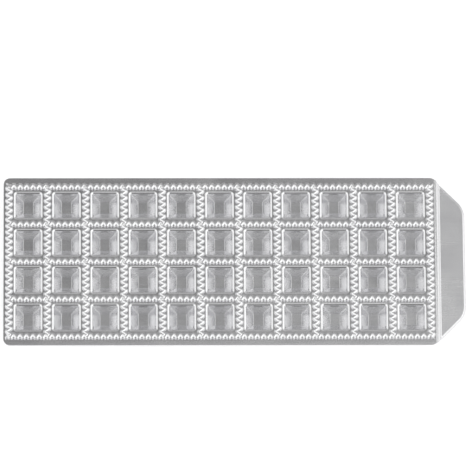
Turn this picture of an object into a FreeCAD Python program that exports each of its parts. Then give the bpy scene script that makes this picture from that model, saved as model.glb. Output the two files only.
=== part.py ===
import FreeCAD, Part
import math
import os
from FreeCAD import Vector

# A ravioli mould: one cast aluminium tray with rows of stepped square pockets. Wavy cutting
# ridges run between the pockets and around them, a plain border carries the long sides, and
# a flat hand tab lies two small steps below the right-hand end.
# The tray lies in the XY plane with its length along X, and stands on the pocket bottoms.

doc = FreeCAD.newDocument("RavioliMould")

# Driving sizes: millimetres, and plain counts for columns, rows and waves
SIZES = [
    ("columns", 11, "pockets along the tray"),
    ("rows", 4, "pockets across the tray"),
    ("waves", 6, "whole waves of a ridge along one pocket"),
    ("cell_pitch", 28.2, "from one pocket to the next, both ways"),
    ("wave_reach", 1.6, "sideways swing of a ridge from its row line"),
    ("ridge_foot", 2.36, "ridge at its foot, measured across its row"),
    ("ridge_crest", 0.92, "ridge at its top, measured across its row"),
    ("ridge_height", 2.6, "ridge above the flat land"),
    ("plate_wall", 2.2, "thickness of the plate between the pockets"),
    ("mouth_width", 20.0, "pocket at the land"),
    ("lip_run", 1.5, "level width taken up by the steep lip"),
    ("lip_depth", 3.0, "depth of the steep lip"),
    ("floor_width", 7.4, "pocket at its floor, along the tray"),
    ("floor_length", 8.3, "pocket at its floor, across the tray"),
    ("pocket_depth", 8.6, "floor below the land"),
    ("pocket_wall", 1.8, "thickness under the floor and beside it"),
    ("side_border", 6.85, "outer ridge line to the long edge"),
    ("end_border", 4.4, "outer ridge line to the left edge"),
    ("step_border", 3.3, "last ridge line to the head of the steps"),
    ("step_run", 1.7, "level width of one step's slope"),
    ("step_fall", 1.2, "height of one step"),
    ("step_ledge", 0.7, "narrow ledge between the two steps"),
    ("tab_reach", 18.4, "foot of the steps to the end of the tab"),
    ("tab_wall", 2.8, "thickness of the tab"),
    ("tab_bevel", 23.0, "cut-off corners of the tab, along each edge"),
    ("end_corner", 5.0, "corner radius at the left end"),
    ("body_corner", 6.0, "corner radius where a long edge turns into the tab"),
    ("tab_corner", 14.0, "corner radius at the end of the tab"),
    ("tab_edge", 2.0, "bevel of the tab's upper edge"),
]

sheet = doc.addObject("Spreadsheet::Sheet", "Sizes")
for line, (alias, value, note) in enumerate(SIZES, start=1):
    sheet.set(f"A{line}", alias)
    sheet.set(f"B{line}", str(value))
    sheet.set(f"C{line}", note)
    sheet.setAlias(f"B{line}", alias)
doc.recompute()

# Levels above the surface that the tray stands on
LAND = "(Sizes.pocket_depth + Sizes.pocket_wall)"
CREST = f"({LAND} + Sizes.ridge_height)"
LEDGE = f"({LAND} - Sizes.lip_depth)"
FLOOR = "Sizes.pocket_wall"
GROUND = "0"
PLATE_UNDERSIDE = f"({LAND} - Sizes.plate_wall)"
TAB_TOP = f"({LAND} - 2 * Sizes.step_fall)"
TAB_UNDERSIDE = f"({TAB_TOP} - Sizes.tab_wall)"

# Places along and across the tray, with zero at the middle of its length and width
RIDGE_SPAN_X = "(Sizes.columns * Sizes.cell_pitch)"
RIDGE_SPAN_Y = "(Sizes.rows * Sizes.cell_pitch)"
STEP_SPAN = "(2 * Sizes.step_run + Sizes.step_ledge)"
BODY_SPAN = f"(Sizes.end_border + {RIDGE_SPAN_X} + Sizes.step_border)"
LENGTH = f"({BODY_SPAN} + {STEP_SPAN} + Sizes.tab_reach)"
LEFT_END = f"(-{LENGTH} / 2)"
LONG_EDGE = f"({RIDGE_SPAN_Y} / 2 + Sizes.side_border)"
FIRST_RIDGE_X = f"({LEFT_END} + Sizes.end_border)"
FIRST_RIDGE_Y = f"(-{RIDGE_SPAN_Y} / 2)"
FIRST_POCKET_X = f"({FIRST_RIDGE_X} + Sizes.cell_pitch / 2)"
FIRST_POCKET_Y = f"({FIRST_RIDGE_Y} + Sizes.cell_pitch / 2)"


def worth(expression):
    """The number that an expression of the sheet's sizes comes to."""
    return float(sheet.evalExpression(expression))


def size(alias):
    """One driving size from the sheet."""
    return worth(f"Sizes.{alias}")


tray = doc.addObject("PartDesign::Body", "Tray")


def origin_feature(role):
    """A plane or an axis of the body's own origin."""
    return next(item for item in tray.Origin.OriginFeatures if item.Role == role)


def new_sketch(name, plane, **offset):
    """An empty sketch on an origin plane, moved by x, y and z given as expressions."""
    sketch = tray.newObject("Sketcher::SketchObject", name)
    sketch.AttachmentSupport = [(origin_feature(plane), "")]
    sketch.MapMode = "FlatFace"
    for axis, expression in offset.items():
        sketch.setExpression(f".AttachmentOffset.Base.{axis}", expression)
    return sketch


def draw_closed(sketch, corners):
    """A closed run of straight lines through the corners."""
    points = [Vector(x, y, 0) for x, y in corners]
    lines = [Part.LineSegment(a, b) for a, b in zip(points, points[1:] + points[:1])]
    sketch.addGeometry(lines, False)


def frustum(kind, name, low, low_widths, high, high_widths):
    """A four-sided frustum about the middle of the first pocket, between two levels.

    Its widths at each level are given along the tray and across it.
    """
    wedge = tray.newObject(f"PartDesign::{kind}Wedge", name)
    wedge.AttachmentSupport = [(origin_feature("XZ_Plane"), "")]
    wedge.MapMode = "FlatFace"
    wedge.setExpression(".AttachmentOffset.Base.x", FIRST_POCKET_X)
    wedge.setExpression(".AttachmentOffset.Base.z", f"-{FIRST_POCKET_Y}")
    wedge.setExpression("Ymin", low)
    wedge.setExpression("Ymax", high)
    for side, widths in [("", low_widths), ("2", high_widths)]:
        for axis, width in zip(["X", "Z"], widths):
            wedge.setExpression(f"{axis}{side}min", f"-({width}) / 2")
            wedge.setExpression(f"{axis}{side}max", f"({width}) / 2")
    return wedge


def row_of(name, axis, count):
    """One direction of the grid of pockets, at the pitch of the cells."""
    row = doc.addObject("PartDesign::LinearPattern", name)
    row.Direction = (origin_feature(axis), [""])
    row.Mode = "Spacing"
    row.setExpression("Offset", "Sizes.cell_pitch")
    row.setExpression("Occurrences", count)
    return row


# The plate and its tab, seen from above: straight edges with every corner rounded
def plan_corners():
    """Corners of the outline with their radii, anticlockwise from the near left one."""
    left = worth(LEFT_END)
    edge = worth(LONG_EDGE)
    bevel = size("tab_bevel")
    near = [
        (left, -edge, size("end_corner")),
        (-left - bevel, -edge, size("body_corner")),
        (-left, -edge + bevel, size("tab_corner")),
    ]
    return near + [(x, -y, radius) for x, y, radius in reversed(near)]


def draw_rounded(sketch, corners):
    """A closed outline of straight lines and corner arcs."""
    points = [Vector(x, y, 0) for x, y, radius in corners]
    arcs = []
    for i, (x, y, radius) in enumerate(corners):
        before = (points[i - 1] - points[i]).normalize()
        after = (points[(i + 1) % len(points)] - points[i]).normalize()
        half_angle = before.getAngle(after) / 2
        setback = radius / math.tan(half_angle)
        inset = (before + after).normalize() * (radius / math.sin(half_angle) - radius)
        arcs.append((points[i] + before * setback, points[i] + inset, points[i] + after * setback))
    for arc, following in zip(arcs, arcs[1:] + arcs[:1]):
        sketch.addGeometry(Part.Arc(*arc), False)
        sketch.addGeometry(Part.LineSegment(arc[2], following[0]), False)


plan = new_sketch("PlanOutline", "XY_Plane", z=TAB_UNDERSIDE)
draw_rounded(plan, plan_corners())
plate = tray.newObject("PartDesign::Pad", "Plate")
plate.Profile = plan
plate.setExpression("Length", f"{LAND} - {TAB_UNDERSIDE}")

# The plate's side view: room above the tab and its two steps, and room under the plate
clearance = 1.0
land = worth(LAND)
step_head = worth(f"{LEFT_END} + {BODY_SPAN}")
step_foot = worth(f"{LEFT_END} + {BODY_SPAN} + {STEP_SPAN}")
step_run = size("step_run")
mid_level = land - size("step_fall")
beyond = -worth(LEFT_END) + clearance
above = land + clearance
below = worth(TAB_UNDERSIDE) - clearance

steps = new_sketch("StepsSideView", "XZ_Plane")
draw_closed(steps, [
    (step_head, land),
    (step_head + step_run, mid_level),
    (step_foot - step_run, mid_level),
    (step_foot, worth(TAB_TOP)),
    (beyond, worth(TAB_TOP)),
    (beyond, above),
    (step_head, above),
])
underside = new_sketch("UndersideSideView", "XZ_Plane")
draw_closed(underside, [
    (-beyond, below),
    (step_foot - step_run, below),
    (step_foot - step_run, worth(TAB_UNDERSIDE)),
    (step_head - step_run, worth(PLATE_UNDERSIDE)),
    (-beyond, worth(PLATE_UNDERSIDE)),
])
for name, side_view in [("Steps", steps), ("PlateHollow", underside)]:
    room = tray.newObject("PartDesign::Pocket", name)
    room.Profile = side_view
    room.Type = "ThroughAll"
    room.Midplane = True
doc.recompute()

# The tab's upper edge is bevelled, easy on the hand
tab_top = worth(TAB_TOP)
base = tray.Tip
tab_edges = [
    f"Edge{i}"
    for i, edge in enumerate(base.Shape.Edges, start=1)
    if all(abs(vertex.Z - tab_top) < 1e-6 for vertex in edge.Vertexes)
    and edge.CenterOfMass.x > step_foot + 1e-3
]
edge_bevel = tray.newObject("PartDesign::Chamfer", "TabEdge")
edge_bevel.Base = (base, tab_edges)
edge_bevel.setExpression("Size", "Sizes.tab_edge")

# One pocket: a four-sided cup under the plate, narrowing to the flat bottom that the tray
# stands on, and inside it a steep lip and then four long slopes down to the floor
MOUTH = ("Sizes.mouth_width", "Sizes.mouth_width")
LEDGE_ROOM = ("Sizes.mouth_width - 2 * Sizes.lip_run", "Sizes.mouth_width - 2 * Sizes.lip_run")
FLOOR_ROOM = ("Sizes.floor_width", "Sizes.floor_length")
CUP_HEAD = ("Sizes.mouth_width + Sizes.pocket_wall", "Sizes.mouth_width + Sizes.pocket_wall")
CUP_FOOT = ("Sizes.floor_width + 2 * Sizes.pocket_wall", "Sizes.floor_length + 2 * Sizes.pocket_wall")
cup = frustum("Additive", "Cup", GROUND, CUP_FOOT, PLATE_UNDERSIDE, CUP_HEAD)
lip = frustum("Subtractive", "Lip", LEDGE, LEDGE_ROOM, LAND, MOUTH)
slopes = frustum("Subtractive", "Slopes", FLOOR, FLOOR_ROOM, LEDGE, LEDGE_ROOM)
pockets = tray.newObject("PartDesign::MultiTransform", "Pockets")
pockets.Originals = [cup, lip, slopes]
pockets.Transformations = [
    row_of("AlongTheTray", "X_Axis", "Sizes.columns"),
    row_of("AcrossTheTray", "Y_Axis", "Sizes.rows"),
]
tray.Tip = pockets
doc.recompute()

# Wavy ridges. Along a row line the centre of a ridge swings to one side at each even half
# wave and to the other at each odd one, and its two flanks are straight from swing to swing.
# Along Y it starts at the left, along X at the near side, the same at every crossing.
pitch = size("cell_pitch")
reach = size("wave_reach")
steps_per_cell = 2 * int(size("waves"))
half_wave = pitch / steps_per_cell
slope = 2 * reach / half_wave


def swing(step):
    """Sideways place of a ridge's centre at a half wave."""
    return reach if step % 2 else -reach


def cell_corners(half):
    """One cell inside its four ridges, anticlockwise, for ridges of this half width."""
    low = [swing(step) + half for step in range(steps_per_cell)]
    high = [pitch + swing(step) - half for step in range(steps_per_cell)]
    at = [step * half_wave for step in range(steps_per_cell)]
    whole = range(1, steps_per_cell)
    clear = range(2, steps_per_cell)
    near_left = (3 * reach + half) / (1 + slope)
    far_right = pitch - (reach + half) / (1 + slope)
    notch_rise = ((slope - 1) * reach + (slope + 1) * half) / (1 + slope ** 2)
    notch_run = pitch - (half + reach - slope * notch_rise)
    near = [(near_left, near_left)] + [(at[i], low[i]) for i in clear]
    right = [(notch_run, notch_rise)] + [(high[i], at[i]) for i in whole]
    far = [(far_right, far_right)] + [(at[i], high[i]) for i in reversed(whole)]
    left = [(notch_rise, notch_run)] + [(low[i], at[i]) for i in reversed(clear)]
    return near + right + far + left


def lattice_corners(half):
    """The outside of all ridges together, anticlockwise from the near left crossing."""
    along = int(size("columns")) * steps_per_cell
    across = int(size("rows")) * steps_per_cell
    end_x = along * half_wave
    end_y = across * half_wave
    near = [(i * half_wave, swing(i) - half) for i in range(along + 1)]
    near_right = [(end_x + reach + half, 0)]
    right = [(end_x + swing(i) + half, i * half_wave) for i in range(1, across)]
    far = [(i * half_wave, end_y + swing(i) + half) for i in range(along - 1, 0, -1)]
    far_left = [(0, end_y + reach + half)]
    left = [(swing(i) - half, i * half_wave) for i in range(across, -1, -1)]
    return near + near_right + right + far + far_left + left


def tapered(low_corners, low_level, high_corners, high_level):
    """A solid with flat flanks between two outlines of as many corners."""
    start = Vector(worth(FIRST_RIDGE_X), worth(FIRST_RIDGE_Y), 0)
    low = [start + Vector(x, y, low_level) for x, y in low_corners]
    high = [start + Vector(x, y, high_level) for x, y in high_corners]
    faces = [Part.Face(Part.makePolygon(ring + ring[:1])) for ring in (low, high)]
    low_sides = zip(low, low[1:] + low[:1])
    high_sides = zip(high, high[1:] + high[:1])
    for (a, b), (c, d) in zip(low_sides, high_sides):
        faces.append(Part.Face(Part.makePolygon([a, b, d, c, a])))
    return Part.makeSolid(Part.makeShell(faces))


crest_level = worth(CREST)
foot = size("ridge_foot") / 2
crest = size("ridge_crest") / 2
block = doc.addObject("Part::Feature", "RidgeBlock")
block.Shape = tapered(lattice_corners(foot), land, lattice_corners(crest), crest_level)
one_cell = tapered(cell_corners(foot), land, cell_corners(crest), crest_level)
cells = doc.addObject("Part::Feature", "Cells")
cells.Shape = Part.makeCompound([
    one_cell.translated(Vector(column * pitch, row * pitch, 0))
    for column in range(int(size("columns")))
    for row in range(int(size("rows")))
])

ridged = doc.addObject("Part::Fuse", "RidgedTray")
ridged.Base = tray
ridged.Tool = block
ridged.Refine = False
mould = doc.addObject("Part::Cut", "Mould")
mould.Label = "mould_tray"
mould.Base = ridged
mould.Tool = cells
mould.Refine = False
doc.recompute()

# Every feature has to be sound before the tray is written out
for item in doc.Objects:
    if "Invalid" in item.State or "Error" in item.State:
        raise SystemExit(f"{item.Label} failed: {item.State}")
if mould.Shape.isNull() or not mould.Shape.isValid() or len(mould.Shape.Solids) != 1:
    raise SystemExit("the tray isn't one sound solid")

os.makedirs("parts", exist_ok=True)
mould.Shape.exportStep(f"parts/{mould.Label}.step")
print(mould.Label, mould.Shape.BoundBox, round(mould.Shape.Volume), "mm3")
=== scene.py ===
import math

import bpy
from mathutils import Matrix, Quaternion, Vector


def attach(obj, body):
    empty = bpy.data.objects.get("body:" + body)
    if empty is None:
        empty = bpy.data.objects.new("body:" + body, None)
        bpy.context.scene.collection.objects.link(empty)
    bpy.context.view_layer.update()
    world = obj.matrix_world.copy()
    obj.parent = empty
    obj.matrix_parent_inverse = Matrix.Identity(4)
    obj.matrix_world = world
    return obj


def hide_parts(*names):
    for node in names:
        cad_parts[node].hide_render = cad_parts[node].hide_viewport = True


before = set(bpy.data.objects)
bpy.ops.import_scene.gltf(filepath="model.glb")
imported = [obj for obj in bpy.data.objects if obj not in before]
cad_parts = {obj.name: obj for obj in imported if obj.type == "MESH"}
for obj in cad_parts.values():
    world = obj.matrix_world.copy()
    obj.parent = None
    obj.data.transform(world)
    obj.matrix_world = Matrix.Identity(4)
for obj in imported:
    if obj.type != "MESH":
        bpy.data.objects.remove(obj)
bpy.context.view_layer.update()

bpy.ops.object.select_all(action="DESELECT")


# The ridges that seal and cut the dough. They are cast in one with the aluminium plate, broad
# at the foot with a crest like a low roof, and swing in six waves to a pocket. Their sides
# round one pocket are shaped here.

MM = 0.001
COLUMNS, ROWS = 11, 4
CELL = 28.2 * MM
WAVES = 6
WAVE = CELL / WAVES
SWING = 1.15 * MM
FIRST_X, FIRST_Y = -165.8 * MM, -56.4 * MM
LAND = 10.4 * MM
# in millimetres: half the ridge's thickness, and the height above the plate
RIDGE_SECTION = ((0.0, 2.6), (0.1, 2.57), (0.7, 2.27), (1.24, 1.93),
                 (1.42, 1.65), (1.54, 1.0), (1.64, 0.3), (1.8, 0.0))
POINTS_PER_WAVE = 8
POINTS_BY_CROSSING = 6
TOUCH_TRIALS = 24
CROSSING_TRIALS = 200
WELD = 1e-6


def crosswise_ridge(y):
    """How far a ridge that runs across the tray has swung to the right."""
    return SWING * math.sin(2 * math.pi * y / WAVE)


def lengthwise_ridge(x):
    """How far a ridge that runs along the tray has swung towards the far edge."""
    return -SWING * math.sin(2 * math.pi * x / WAVE)


def ridge_side(ridge, place, half, side):
    """The ridge's side, as far out as a disc of radius half reaches that slides along its wave."""
    shifts = [half * math.sin(math.pi * (trial / TOUCH_TRIALS - 0.5)) for trial in range(TOUCH_TRIALS + 1)]
    return side * max(side * ridge(place + shift) + math.sqrt(max(half * half - shift * shift, 0.0))
                      for shift in shifts)


def inner_corner(half, side_x, side_y):
    """Where the sides of two ridges meet, measured from the crossing of their row lines."""
    x = y = 0.0
    for trial in range(CROSSING_TRIALS):
        x = (x + ridge_side(crosswise_ridge, y, half, side_x)) / 2
        y = (y + ridge_side(lengthwise_ridge, x, half, side_y)) / 2
    return x, y


def places_along(start, end):
    """Places along one pocket's side, tied to the waves but for the few next to a crossing."""
    last = WAVES * POINTS_PER_WAVE
    first_tied = POINTS_BY_CROSSING * WAVE / POINTS_PER_WAVE
    last_tied = (last - POINTS_BY_CROSSING) * WAVE / POINTS_PER_WAVE
    places = []
    for point in range(last + 1):
        if point < POINTS_BY_CROSSING:
            places.append(start + (first_tied - start) * point / POINTS_BY_CROSSING)
        elif point > last - POINTS_BY_CROSSING:
            places.append(end - (end - last_tied) * (last - point) / POINTS_BY_CROSSING)
        else:
            places.append(point * WAVE / POINTS_PER_WAVE)
    return places


def closed_outline(near, right, far, left):
    """Joins four sides, each given from its low to its high end, into one outline."""
    return near[:-1] + right[:-1] + far[:0:-1] + left[:0:-1]


def outline_round_pocket(half):
    near_left, near_right = inner_corner(half, 1, 1), inner_corner(half, -1, 1)
    far_left, far_right = inner_corner(half, 1, -1), inner_corner(half, -1, -1)
    return closed_outline(
        [(x, ridge_side(lengthwise_ridge, x, half, 1))
         for x in places_along(near_left[0], CELL + near_right[0])],
        [(CELL + ridge_side(crosswise_ridge, y, half, -1), y)
         for y in places_along(near_right[1], CELL + far_right[1])],
        [(x, CELL + ridge_side(lengthwise_ridge, x, half, -1))
         for x in places_along(far_left[0], CELL + far_right[0])],
        [(ridge_side(crosswise_ridge, y, half, 1), y)
         for y in places_along(near_left[1], CELL + far_left[1])])


def ridge_levels(outline):
    return [[(FIRST_X + x, FIRST_Y + y, LAND + rise * MM) for x, y in outline(half * MM)]
            for half, rise in RIDGE_SECTION]


def skin_through(name, levels):
    """A grid bent through closed outlines of points, one row to each outline."""
    around = len(levels[0])
    bpy.ops.mesh.primitive_grid_add(x_subdivisions=around, y_subdivisions=len(levels) - 1, size=1)
    skin = bpy.context.object
    skin.name = name
    for row, outline in enumerate(levels):
        for column in range(around + 1):
            skin.data.vertices[row * (around + 1) + column].co = outline[column % around]
    bpy.ops.object.mode_set(mode="EDIT")
    bpy.ops.mesh.select_all(action="SELECT")
    bpy.ops.mesh.remove_doubles(threshold=WELD)
    bpy.ops.object.mode_set(mode="OBJECT")
    return skin


ridges = skin_through("cell", ridge_levels(outline_round_pocket))


# The pockets that shape the filling: a flat floor, four slopes, and a steeper lip under a
# rounded rim, cast in one with the plate. One pocket is modelled, set between its ridges, and
# repeated over the tray.

MIDDLE_X, MIDDLE_Y = FIRST_X + CELL / 2, FIRST_Y + CELL / 2
# in millimetres: half the pocket's width along the tray and across it, its corner radius, and
# the level
POCKET_SECTION = ((3.5, 4.15, 0.2, 1.8), (3.72, 4.22, 0.3, 1.88), (4.0, 4.45, 0.4, 2.15),
                  (8.15, 8.15, 0.6, 7.0), (8.4, 8.4, 0.7, 7.6), (8.62, 8.62, 0.8, 8.4),
                  (8.85, 8.85, 0.95, 9.15), (9.05, 9.05, 1.1, 9.6), (9.3, 9.3, 1.25, 9.87),
                  (9.6, 9.6, 1.45, 10.07), (9.9, 9.9, 1.65, 10.22), (10.2, 10.2, 1.85, 10.33),
                  (10.5, 10.5, 2.05, 10.4))
CORNER_SEGMENTS = 4


def square_levels(section):
    levels = []
    for half_x, half_y, radius, level in section:
        outline = []
        for quarter, (side_x, side_y) in enumerate(((1, 1), (-1, 1), (-1, -1), (1, -1))):
            for segment in range(CORNER_SEGMENTS + 1):
                turn = (quarter + segment / CORNER_SEGMENTS) * math.pi / 2
                outline.append((MIDDLE_X + (side_x * (half_x - radius) + radius * math.cos(turn)) * MM,
                                MIDDLE_Y + (side_y * (half_y - radius) + radius * math.sin(turn)) * MM,
                                level * MM))
        levels.append(outline)
    return levels


def select_open_edges(obj, level):
    """Selects, in edit mode, the open edges that lie in one level."""
    bpy.context.view_layer.objects.active = obj
    bpy.ops.object.mode_set(mode="EDIT")
    bpy.ops.mesh.select_mode(type="EDGE")
    bpy.ops.mesh.select_all(action="DESELECT")
    bpy.ops.mesh.select_non_manifold(extend=False, use_wire=False, use_boundary=True,
                                     use_multi_face=False, use_non_contiguous=False, use_verts=False)
    bpy.ops.object.mode_set(mode="OBJECT")
    for edge in obj.data.edges:
        if edge.select and any(abs(obj.data.vertices[end].co.z - level) > WELD for end in edge.vertices):
            edge.select = False
    bpy.ops.object.mode_set(mode="EDIT")


def close_bottom(obj, level):
    select_open_edges(obj, level)
    bpy.ops.mesh.edge_face_add()
    bpy.ops.object.mode_set(mode="OBJECT")
    obj.select_set(False)


def fill_level(obj, level):
    """Closes the flat ground at one level between the open edges that lie in it."""
    select_open_edges(obj, level)
    bpy.ops.mesh.fill(use_beauty=True)
    bpy.ops.object.mode_set(mode="OBJECT")


def join(pieces):
    bpy.ops.object.select_all(action="DESELECT")
    for piece in pieces:
        piece.select_set(True)
    bpy.context.view_layer.objects.active = pieces[0]
    bpy.ops.object.join()
    return bpy.context.object


def repeat(obj, count, offset):
    row = obj.modifiers.new("Repeat", "ARRAY")
    row.count = count
    row.use_relative_offset = False
    row.use_constant_offset = True
    row.constant_offset_displace = offset
    row.use_merge_vertices = True
    row.merge_threshold = WELD
    bpy.context.view_layer.objects.active = obj
    bpy.ops.object.modifier_apply(modifier="Repeat")


def repeat_over_tray(obj):
    repeat(obj, COLUMNS, (CELL, 0, 0))
    repeat(obj, ROWS, (0, CELL, 0))


pocket = skin_through("pocket", square_levels(POCKET_SECTION))
close_bottom(pocket, POCKET_SECTION[0][3] * MM)
cells = join([ridges, pocket])
fill_level(cells, LAND)
repeat_over_tray(cells)


# The outer sides of the outermost ridges, which face the flat border of the plate all the way
# round and are cast with it. They run on from pocket to pocket with the same waves.


def places_along_row(count, start, end, crossing):
    """Places along a whole row of pockets, from its first corner to its last."""
    places = []
    for cell in range(count):
        first = start if cell == 0 else crossing
        final = end if cell == count - 1 else crossing
        places += [cell * CELL + place for place in places_along(first, CELL + final)[:-1]]
    return places + [count * CELL + end]


def outline_round_ridges(half):
    crossing = inner_corner(0.0, 1, 1)
    near_left, near_right = inner_corner(half, -1, -1), inner_corner(half, 1, -1)
    far_left, far_right = inner_corner(half, -1, 1), inner_corner(half, 1, 1)
    length, width = COLUMNS * CELL, ROWS * CELL
    return closed_outline(
        [(x, ridge_side(lengthwise_ridge, x, half, -1))
         for x in places_along_row(COLUMNS, near_left[0], near_right[0], crossing[0])],
        [(length + ridge_side(crosswise_ridge, y, half, 1), y)
         for y in places_along_row(ROWS, near_right[1], far_right[1], crossing[1])],
        [(x, width + ridge_side(lengthwise_ridge, x, half, 1))
         for x in places_along_row(COLUMNS, far_left[0], far_right[0], crossing[0])],
        [(ridge_side(crosswise_ridge, y, half, -1), y)
         for y in places_along_row(ROWS, near_left[1], far_left[1], crossing[1])])


outer_sides = skin_through("skirt", ridge_levels(outline_round_ridges))


# The cups seen from below: the outer side of each pocket, a blunt pyramid with the same thin
# wall all over, cast under the plate. The tray stands on their 44 bottoms.

PLATE_UNDERSIDE = 8.2 * MM
# in millimetres, as for the pocket
CUP_SECTION = ((5.3, 5.75, 1.2, 0.0), (5.6, 6.05, 1.4, 0.12), (5.85, 6.3, 1.6, 0.45),
               (10.3, 10.3, 2.6, 7.4), (10.55, 10.55, 2.8, 7.95), (10.9, 10.9, 3.0, 8.2))
cups = skin_through("cup", square_levels(CUP_SECTION))
close_bottom(cups, 0.0)
repeat_over_tray(cups)


# The plate with its hand tab: one slab of the casting with rounded corners, that steps down
# twice past the last pockets to a low tab with two slanting corners and an eased edge.

# in millimetres, with the places where each of the two steps starts and ends
LEFT, RIGHT, LONG_EDGE = -170.2, 170.2, 63.25
STEP_PLACES = (147.7, 149.4, 150.1, 151.8)
STEP_FALL = 1.2
TAB_THICKNESS, PLATE_THICKNESS = 2.8, 2.2
TAB_CUT = 23.0
PLATE_RADIUS, SHOULDER_RADIUS, TAB_RADIUS = 5.0, 6, 14
PLATE_SEGMENTS, SHOULDER_SEGMENTS, TAB_SEGMENTS = 7, 5, 8
PAST_FIRST_STEP, ON_TAB = (STEP_PLACES[1] - 0.1) * MM, (STEP_PLACES[3] - 0.1) * MM
# a level between the tab's upper and lower face
MID_TAB = 7 * MM
LARGEST_ROUND = 2.0 * MM
ROUND_SEGMENTS = 4
# the shares of the largest round that the edges get
TAB_TOP_SHARE, TAB_BOTTOM_SHARE, PLATE_SHARE, STEP_SHARE = 1.0, 0.35, 0.3, 0.15
AT_CORNER, AT_STEP, SHORTEST_STEP = 0.5 * MM, 0.01 * MM, 10 * MM
# how far a face may lean from upright, and from level
UPRIGHT, LEVEL = 0.1, 1e-4
LARGE_FACE = 0.02


def cut_corner(obj, x, y, reach, segments):
    """Bevels or rounds the corner of the flat outline that stands at a place."""
    for vertex in obj.data.vertices:
        vertex.select = math.hypot(vertex.co.x - x * MM, vertex.co.y - y * MM) < AT_CORNER
    bpy.ops.object.mode_set(mode="EDIT")
    bpy.ops.mesh.select_mode(type="VERT")
    bpy.ops.mesh.bevel(offset=reach * MM, segments=segments, affect="VERTICES")
    bpy.ops.mesh.select_all(action="DESELECT")
    bpy.ops.object.mode_set(mode="OBJECT")


def lower(obj, chosen, fall):
    for vertex in obj.data.vertices:
        if chosen(vertex.co):
            vertex.co += Vector((0, 0, -fall))


bpy.ops.object.select_all(action="DESELECT")
bpy.ops.mesh.primitive_plane_add(size=1)
slab = bpy.context.object
slab.name = "slab"
slab.scale = ((RIGHT - LEFT) * MM, 2 * LONG_EDGE * MM, 1)
slab.location = ((RIGHT + LEFT) / 2 * MM, 0, LAND)
bpy.ops.object.transform_apply(location=True, rotation=True, scale=True)
bpy.ops.object.mode_set(mode="EDIT")
bpy.ops.mesh.select_all(action="DESELECT")
bpy.ops.object.mode_set(mode="OBJECT")
for side in (-1, 1):
    cut_corner(slab, RIGHT, side * LONG_EDGE, TAB_CUT, 1)
# how far from a corner that turns by 45 degrees its round starts, as a share of the radius
EIGHTH_TURN = math.tan(math.pi / 8)
for side in (-1, 1):
    cut_corner(slab, RIGHT - TAB_CUT, side * LONG_EDGE, SHOULDER_RADIUS * EIGHTH_TURN, SHOULDER_SEGMENTS)
    cut_corner(slab, RIGHT, side * (LONG_EDGE - TAB_CUT), TAB_RADIUS * EIGHTH_TURN, TAB_SEGMENTS)
    cut_corner(slab, LEFT, side * LONG_EDGE, PLATE_RADIUS, PLATE_SEGMENTS)

bpy.ops.object.mode_set(mode="EDIT")
bpy.ops.mesh.select_all(action="SELECT")
bpy.ops.mesh.extrude_region_move(TRANSFORM_OT_translate={"value": (0, 0, -PLATE_THICKNESS * MM)})
for step_place in STEP_PLACES:
    bpy.ops.mesh.select_all(action="SELECT")
    bpy.ops.mesh.bisect(plane_co=(step_place * MM, 0, 0), plane_no=(1, 0, 0))
bpy.ops.object.mode_set(mode="OBJECT")
lower(slab, lambda at: at.x > PAST_FIRST_STEP, STEP_FALL * MM)
lower(slab, lambda at: at.x > ON_TAB, STEP_FALL * MM)
lower(slab, lambda at: at.x > ON_TAB and at.z < MID_TAB, (TAB_THICKNESS - PLATE_THICKNESS) * MM)

round_shares = slab.data.attributes.new("bevel_weight_edge", "FLOAT", "EDGE")
side_faces_at = {}
for face in slab.data.polygons:
    if abs(face.normal.z) < UPRIGHT:
        for key in face.edge_keys:
            side_faces_at[key] = side_faces_at.get(key, 0) + 1
for edge in slab.data.edges:
    one, other = (slab.data.vertices[end].co for end in edge.vertices)
    if side_faces_at.get(tuple(sorted(edge.vertices))) == 1:
        share = PLATE_SHARE
        if min(one.x, other.x) > ON_TAB:
            share = TAB_TOP_SHARE if (one.z + other.z) / 2 > MID_TAB else TAB_BOTTOM_SHARE
        round_shares.data[edge.index].value = share
    step_x = min(STEP_PLACES, key=lambda place: abs(place * MM - one.x)) * MM
    along_step = abs(one.x - step_x) < AT_STEP and abs(other.x - step_x) < AT_STEP
    if along_step and abs(one.y - other.y) > SHORTEST_STEP:
        round_shares.data[edge.index].value = STEP_SHARE
rounding = slab.modifiers.new("Rounding", "BEVEL")
rounding.limit_method = "WEIGHT"
rounding.width = LARGEST_ROUND
rounding.segments = ROUND_SEGMENTS
bpy.context.view_layer.objects.active = slab
bpy.ops.object.modifier_apply(modifier="Rounding")

# the two large flat faces make room for the ridges, the pockets and the cups
for face in slab.data.polygons:
    face.select = (abs(abs(face.normal.z) - 1) < LEVEL and face.area > LARGE_FACE)
bpy.ops.object.mode_set(mode="EDIT")
bpy.ops.mesh.select_mode(type="FACE")
bpy.ops.mesh.delete(type="ONLY_FACE")
bpy.ops.object.mode_set(mode="OBJECT")


# The whole casting: ridges, pockets, cups and plate closed into one skin of aluminium. Plate,
# ridges and pocket floors are polished bright, and the slopes and the tab keep their cast satin.

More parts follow.
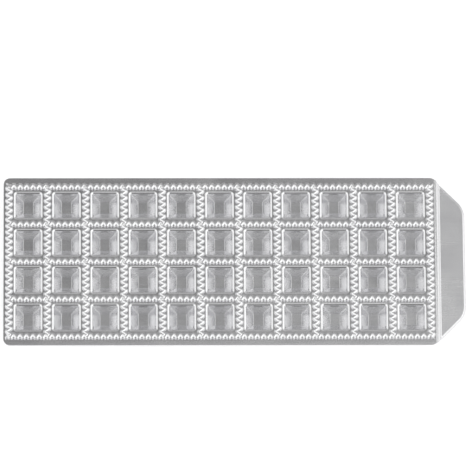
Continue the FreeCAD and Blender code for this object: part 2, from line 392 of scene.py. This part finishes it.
CREASE = math.radians(50)
mould = join([slab, cups, cells, outer_sides])
mould.name = "aluminium_mould"
mould.data.name = "aluminium_mould"
bpy.ops.object.mode_set(mode="EDIT")
bpy.ops.mesh.select_all(action="SELECT")
bpy.ops.mesh.remove_doubles(threshold=WELD)
bpy.ops.object.mode_set(mode="OBJECT")
fill_level(mould, LAND)
fill_level(mould, PLATE_UNDERSIDE)
bpy.ops.object.mode_set(mode="EDIT")
bpy.ops.mesh.select_all(action="SELECT")
bpy.ops.mesh.normals_make_consistent(inside=False)
bpy.ops.object.mode_set(mode="OBJECT")
bpy.ops.object.select_all(action="DESELECT")
mould.select_set(True)
bpy.context.view_layer.objects.active = mould
bpy.ops.object.shade_smooth_by_angle(angle=CREASE)
even = mould.modifiers.new("Even", "WEIGHTED_NORMAL")
even.keep_sharp = True
bpy.ops.object.modifier_apply(modifier="Even")

aluminium = bpy.data.materials.new("polished_cast_aluminium")
aluminium.use_nodes = True
metal_tree = aluminium.node_tree
metal = metal_tree.nodes["Principled BSDF"]
metal.inputs["Metallic"].default_value = 1.0


def add_node(tree, kind, inputs, **settings):
    """Adds a node. An input is linked where it is given as a socket, and set where it is a value."""
    node = tree.nodes.new(kind)
    for name, setting in settings.items():
        setattr(node, name, setting)
    for key, source in inputs.items():
        if isinstance(source, bpy.types.NodeSocket):
            tree.links.new(source, node.inputs[key])
        else:
            node.inputs[key].default_value = source
    return node


def combine(tree, operation, one, other):
    return add_node(tree, "ShaderNodeMath", {0: one, 1: other}, operation=operation).outputs[0]


def spread(tree, source, low, high, start, end, blend="LINEAR"):
    """A value that goes from start to end while the source goes from low to high."""
    inputs = {"Value": source, "From Min": low, "From Max": high, "To Min": start, "To Max": end}
    return add_node(tree, "ShaderNodeMapRange", inputs, interpolation_type=blend).outputs[0]


on_casting = add_node(metal_tree, "ShaderNodeTexCoord", {}).outputs["Object"]


def noise(scale, detail, squeeze=(1, 1, 1)):
    """A noise over the casting, squeezed or stretched along its axes."""
    squeezed = add_node(metal_tree, "ShaderNodeVectorMath", {0: on_casting, 1: squeeze}, operation="MULTIPLY")
    inputs = {"Scale": scale, "Detail": detail, "Vector": squeezed.outputs[0]}
    return add_node(metal_tree, "ShaderNodeTexNoise", inputs).outputs[0]


# the cast metal's clouds, its polishing lines along the tray, and its fine grain
clouds = noise(45, 3)
lines = noise(220, 2, (0.12, 6, 1))
grain = noise(900, 3)

# the roughness of the finishes, and the heights between which one goes over into the next
POLISHED, FLOOR_POLISH, SATIN = 0.15, 0.17, 0.24
FLOOR_TO_SLOPE, SLOPE_TO_RIM = (1.9 * MM, 2.8 * MM), (8.6 * MM, 9.6 * MM)
height = add_node(metal_tree, "ShaderNodeSeparateXYZ", {0: on_casting}).outputs["Z"]
below_rim = spread(metal_tree, height, *SLOPE_TO_RIM, 1.0, 0.0)
above_floor = spread(metal_tree, height, *FLOOR_TO_SLOPE, FLOOR_POLISH, SATIN)
finish = add_node(metal_tree, "ShaderNodeMix", {0: below_rim, 2: POLISHED, 3: above_floor}).outputs[0]
cloudy = spread(metal_tree, clouds, 0.3, 0.7, -0.015, 0.03)
lined = spread(metal_tree, lines, 0.3, 0.7, 0.0, 0.03)
roughness = combine(metal_tree, "ADD", finish, combine(metal_tree, "ADD", cloudy, lined))
metal_tree.links.new(roughness, metal.inputs["Roughness"])

DULL_METAL, BRIGHT_METAL = (0.775, 0.775, 0.79, 1), (0.83, 0.83, 0.835, 1)
brightness = spread(metal_tree, combine(metal_tree, "ADD", clouds, grain), 0.7, 1.3, 0.0, 1.0)
tint = add_node(metal_tree, "ShaderNodeMix", {0: brightness, 6: DULL_METAL, 7: BRIGHT_METAL}, data_type="RGBA")
metal_tree.links.new(tint.outputs[2], metal.inputs["Base Color"])

scratches = combine(metal_tree, "ADD", grain, lines)
relief = add_node(metal_tree, "ShaderNodeBump", {"Strength": 0.25, "Distance": 0.04 * MM, "Height": scratches})
metal_tree.links.new(relief.outputs[0], metal.inputs["Normal"])
mould.data.materials.clear()
mould.data.materials.append(aluminium)
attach(mould, "root")
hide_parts("mould_tray")


# The white table under the tray, a broad sheet of matt paper. It looks white to the camera and
# in the metal by a glow that lights nothing else, so the tray's shadow stays on it.

TABLE_SIZE = 6
GAP_UNDER_TRAY = 0.1 * MM
GLOW = 0.45
bpy.ops.object.select_all(action="DESELECT")
bpy.ops.mesh.primitive_plane_add(size=TABLE_SIZE)
table = bpy.context.object
table.name = "white_table"
table.location.z = -GAP_UNDER_TRAY
bpy.ops.object.transform_apply(location=True)
paper = bpy.data.materials.new("white_paper")
paper.use_nodes = True
paper_tree = paper.node_tree
sheet = paper_tree.nodes["Principled BSDF"]
sheet.inputs["Base Color"].default_value = (0.85, 0.85, 0.85, 1)
sheet.inputs["Roughness"].default_value = 0.9
sheet.inputs["Emission Color"].default_value = (1, 1, 1, 1)
ray = add_node(paper_tree, "ShaderNodeLightPath", {}).outputs
looked_at = combine(paper_tree, "MAXIMUM", ray["Is Camera Ray"], ray["Is Glossy Ray"])
looked_at = combine(paper_tree, "MAXIMUM", looked_at, ray["Is Transmission Ray"])
paper_tree.links.new(combine(paper_tree, "MULTIPLY", looked_at, GLOW), sheet.inputs["Emission Strength"])
table.data.materials.append(paper)


# The studio: a white tent of light round the tray, with a dark opening overhead for the
# camera, a grey far side, a gap in the near side, and one soft lamp above.

studio = bpy.data.worlds.new("studio")
bpy.context.scene.world = studio
studio.use_nodes = True
tent_tree = studio.node_tree
tent = tent_tree.nodes["Background"]
direction = add_node(tent_tree, "ShaderNodeTexCoord", {}).outputs["Generated"]
towards = add_node(tent_tree, "ShaderNodeSeparateXYZ", {0: direction}).outputs


def shade(source, low, high, start, end):
    """A share of the tent's light that changes softly from one direction to another."""
    return spread(tent_tree, source, low, high, start, end, blend="SMOOTHSTEP")


# how far a direction lies from the middle of the camera's oval opening, and the shares by which
# the light falls off there and towards each side
from_opening = add_node(tent_tree, "ShaderNodeVectorMath",
                        {0: direction, 1: (4.0, 2.2, 0), 2: (0.12, -0.2, 0)}, operation="MULTIPLY_ADD")
away = add_node(tent_tree, "ShaderNodeVectorMath", {0: from_opening.outputs[0]}, operation="LENGTH")
sideways = add_node(tent_tree, "ShaderNodeMath", {0: towards["X"]}, operation="ABSOLUTE")
light = shade(away.outputs["Value"], 0.35, 1.3, 0.155, 1.0)
left_to_right = shade(towards["X"], -0.6, 0.6, 1.15, 1.32)
far_side = shade(towards["Y"], 0.25, 0.6, 1.0, 0.42)
near_side = shade(towards["Y"], -0.95, -0.5, 0.6, 1.0)
near_gap = combine(tent_tree, "MAXIMUM", shade(sideways.outputs[0], 0.03, 0.42, 0.15, 1.0),
                   shade(towards["Y"], -0.9, -0.2, 0.0, 1.0))
low_down = shade(towards["Z"], 0.1, 0.5, 0.5, 1.0)
for share in (left_to_right, far_side, near_side, near_gap, low_down):
    light = combine(tent_tree, "MULTIPLY", light, share)
tent_tree.links.new(light, tent.inputs["Strength"])
tent.inputs["Color"].default_value = (1, 1, 1, 1)

LAMP_PLACE, LAMP_TURN = (0.2, 0.12, 1.6), (math.radians(-4.3), math.radians(7.1), 0)
LAMP_SIZE, LAMP_POWER = (0.8, 0.3), 0.24
bpy.ops.object.select_all(action="DESELECT")
bpy.ops.object.light_add(type="AREA", location=LAMP_PLACE, rotation=LAMP_TURN)
softbox = bpy.context.object
softbox.name = "softbox"
softbox.data.shape = "RECTANGLE"
softbox.data.size, softbox.data.size_y = LAMP_SIZE
softbox.data.energy = LAMP_POWER

bpy.context.scene.view_settings.view_transform = "Standard"


# The camera stands high above the tray, a little to its left and towards its near edge, and
# looks at it through a long lens.

TILT, PAN, ROLL = math.radians(13.5), math.radians(1.5), math.radians(-0.05)
DISTANCE = 4.0
FILM_WIDTH, FOCAL_LENGTH = 36, 416
aim = Vector((0.0005, 0.0198, 0.0104))
back = Vector((-math.sin(PAN), -math.sin(TILT), math.cos(TILT))).normalized()
across = Vector((1, 0, 0)) - back * back.x
across.rotate(Quaternion(back, ROLL))
bpy.ops.object.camera_add(location=aim + back * DISTANCE)
camera = bpy.context.object
turned = Matrix((across.normalized(), back.cross(across).normalized(), back)).transposed()
camera.rotation_euler = turned.to_euler()
camera.data.sensor_width = FILM_WIDTH
camera.data.lens = FOCAL_LENGTH
bpy.context.scene.camera = camera

bpy.context.view_layer.update()
